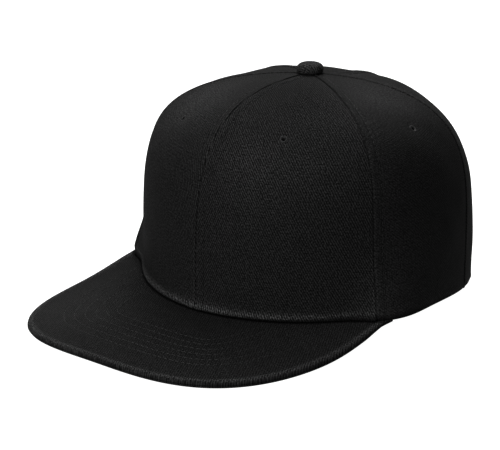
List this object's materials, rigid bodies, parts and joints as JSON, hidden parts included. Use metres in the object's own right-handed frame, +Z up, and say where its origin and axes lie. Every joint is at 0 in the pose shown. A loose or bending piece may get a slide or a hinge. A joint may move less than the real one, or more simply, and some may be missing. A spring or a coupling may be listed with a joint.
{
  "type": "snapback cap",
  "caption": "Structured cap with a tall panelled crown, a broad nearly flat peak, a covered top button and a plain strap across the half-moon opening at the back.",
  "frame": {"origin": "centre of the cap's outline in plan, on the surface that the cap rests on", "axes": "+X to the wearer's left, -Y to the front, where the peak is, +Z up"},
  "size_m": [0.1832, 0.2604, 0.1214],
  "materials": {
    "crown_twill": "matte black cotton twill, diagonal rib",
    "button_twill": "matte black cotton twill stretched over a dome",
    "peak_twill": "matte black cotton twill over a stiff peak, with rows of topstitching",
    "strap_plastic": "satin black moulded plastic"
  },
  "bodies": {
    "root": {"front_panel_left": "crown_twill", "front_panel_right": "crown_twill", "side_panel_left": "crown_twill", "side_panel_right": "crown_twill", "back_panel_left": "crown_twill", "back_panel_right": "crown_twill", "button": "button_twill", "peak_top_cover": "peak_twill", "peak_under_cover": "peak_twill", "snap_strap": "strap_plastic"}
  },
  "joints": []
}
